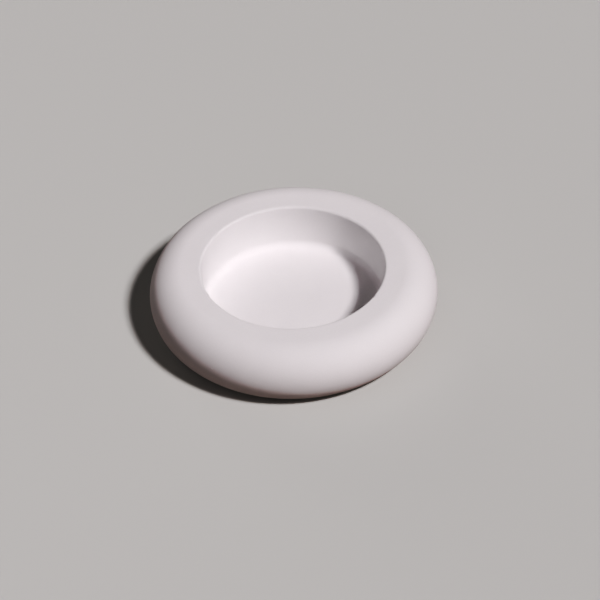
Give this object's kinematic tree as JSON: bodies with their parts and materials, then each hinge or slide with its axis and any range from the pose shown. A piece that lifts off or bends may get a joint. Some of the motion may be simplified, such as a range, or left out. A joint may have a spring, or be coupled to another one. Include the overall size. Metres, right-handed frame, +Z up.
{
  "type": "plaster mold",
  "caption": "Low round plaster mold, cast in one piece, with a half-round side, a flat top land and a flat-floored open recess whose wall has a slight draft.",
  "frame": {"origin": "centre of the flat base, on the plane that the mold rests on", "axes": "+Z up, out of the mouth of the recess; the body is a solid of revolution about Z"},
  "size_m": [0.11, 0.11, 0.024],
  "materials": {
    "plaster": "dry matte cast plaster, smooth and chalky"
  },
  "bodies": {
    "root": {"mold_body": "plaster"}
  },
  "joints": []
}
